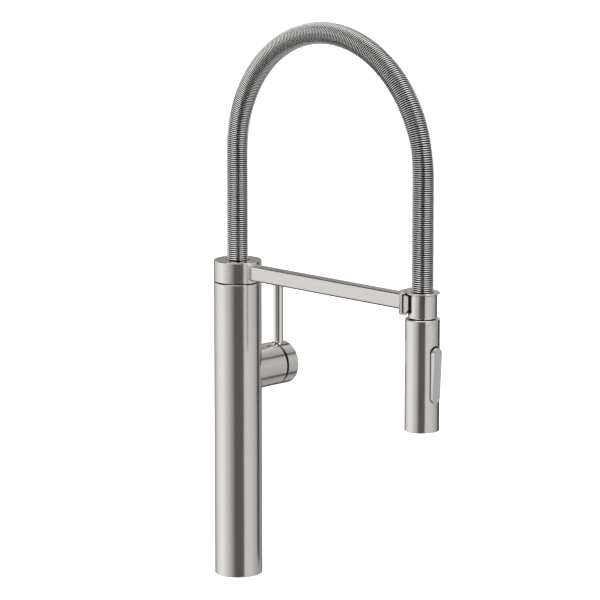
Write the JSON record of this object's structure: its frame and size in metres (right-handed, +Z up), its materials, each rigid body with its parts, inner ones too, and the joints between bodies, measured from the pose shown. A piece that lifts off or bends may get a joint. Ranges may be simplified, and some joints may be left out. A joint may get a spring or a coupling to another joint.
{
  "type": "pull down kitchen faucet",
  "caption": "Tall round-column kitchen tap with a side lever, a swivelling dock arm and a spray head on a coil-sprung hose arch.",
  "frame": {"origin": "centre of the column's foot, on the deck", "axes": "+Z up along the column; the arm and the hose arch point to -Y; the lever barrel points to +X"},
  "size_m": [0.0924, 0.311, 0.5957],
  "materials": {
    "satin_steel": "satin, fine lengthwise brushing",
    "bright_steel": "polished",
    "black_steel": "black oxide",
    "pad_steel": "satin",
    "rocker_steel": "satin",
    "brass": "machined",
    "copper": "drawn copper tube",
    "screw_steel": "plain",
    "aerator_steel": "fine mesh",
    "magnet": "nickel plated",
    "ceramic": "lapped alumina ceramic",
    "white_plastic": "moulded",
    "black_plastic": "moulded",
    "grey_plastic": "moulded",
    "black_rubber": "matte",
    "hose_rubber": "matte"
  },
  "bodies": {
    "column": {"column_tube": "satin_steel", "base_plug": "brass", "deck_seal": "black_rubber", "hot_inlet_tube": "copper", "cold_inlet_tube": "copper", "mixer_body": "brass", "barrel_sleeve": "satin_steel", "cartridge_housing": "white_plastic", "fixed_disc": "ceramic", "cartridge_nut": "brass", "slide_ring": "black_plastic", "riser_tube": "copper", "swivel_stem": "brass", "swivel_bush": "black_plastic", "thrust_washer": "white_plastic", "retaining_clip": "screw_steel"},
    "lever": {"moving_disc": "ceramic", "cartridge_spindle": "brass", "lever_cap": "satin_steel", "lever_rod": "bright_steel", "lever_grub_screw": "screw_steel"},
    "swivel": {"swivel_ring": "satin_steel", "arm": "satin_steel", "arm_screw": "screw_steel", "dock_bracket": "satin_steel", "dock_pad": "pad_steel", "dock_liner": "black_plastic", "dock_magnet": "magnet", "dock_screw": "screw_steel", "hose_seat": "black_plastic", "hose_nipple": "brass", "nipple_o_rings": "black_rubber", "lower_ferrule": "black_steel", "hose_spring": "bright_steel", "inner_hose": "hose_rubber"},
    "hose_end": {"collar": "satin_steel", "head_nipple": "brass", "head_o_rings": "black_rubber", "head_clip": "screw_steel", "head_washer": "black_plastic", "upper_ferrule": "black_steel"},
    "head": {"head_shell": "satin_steel", "head_inlet": "grey_plastic", "check_valve": "white_plastic", "waterway": "grey_plastic", "face_plate": "grey_plastic", "spray_nozzles": "black_rubber", "aerator": "aerator_steel", "rocker_pin": "screw_steel"},
    "rocker": {"rocker": "rocker_steel"},
    "spool": {"diverter_spool": "brass"}
  },
  "joints": [
    {"name": "arm_swivel", "type": "hinge", "parent": "column", "child": "swivel", "pos_m": [0, 0, 0.32], "axis": [0, 0, 1], "continuous": true},
    {"name": "lever_turn", "type": "hinge", "parent": "column", "child": "lever", "pos_m": [0.055, 0, 0.218], "axis": [1, 0, 0], "range_deg": [0, 100]},
    {"name": "hose_flex", "type": "hinge", "parent": "swivel", "child": "hose_end", "pos_m": [0, -0.132, 0.5845], "axis": [-1, 0, 0], "range_deg": [0, 35], "deforming": ["hose_spring", "inner_hose"]},
    {"name": "head_turn", "type": "hinge", "parent": "hose_end", "child": "head", "pos_m": [0, -0.264, 0.3], "axis": [0, 0, 1], "continuous": true},
    {"name": "rocker_tilt", "type": "hinge", "parent": "head", "child": "rocker", "pos_m": [0, -0.277, 0.2558], "axis": [-1, 0, 0], "range_deg": [0, 5.8]},
    {"name": "spool_slide", "type": "slide", "parent": "head", "child": "spool", "axis": [0, -1, 0], "range_m": [0, 0.0013]}
  ],
  "couplings": [
    {"joint": "spool_slide", "follows": "rocker_tilt", "m_per_rad": 0.0125}
  ]
}
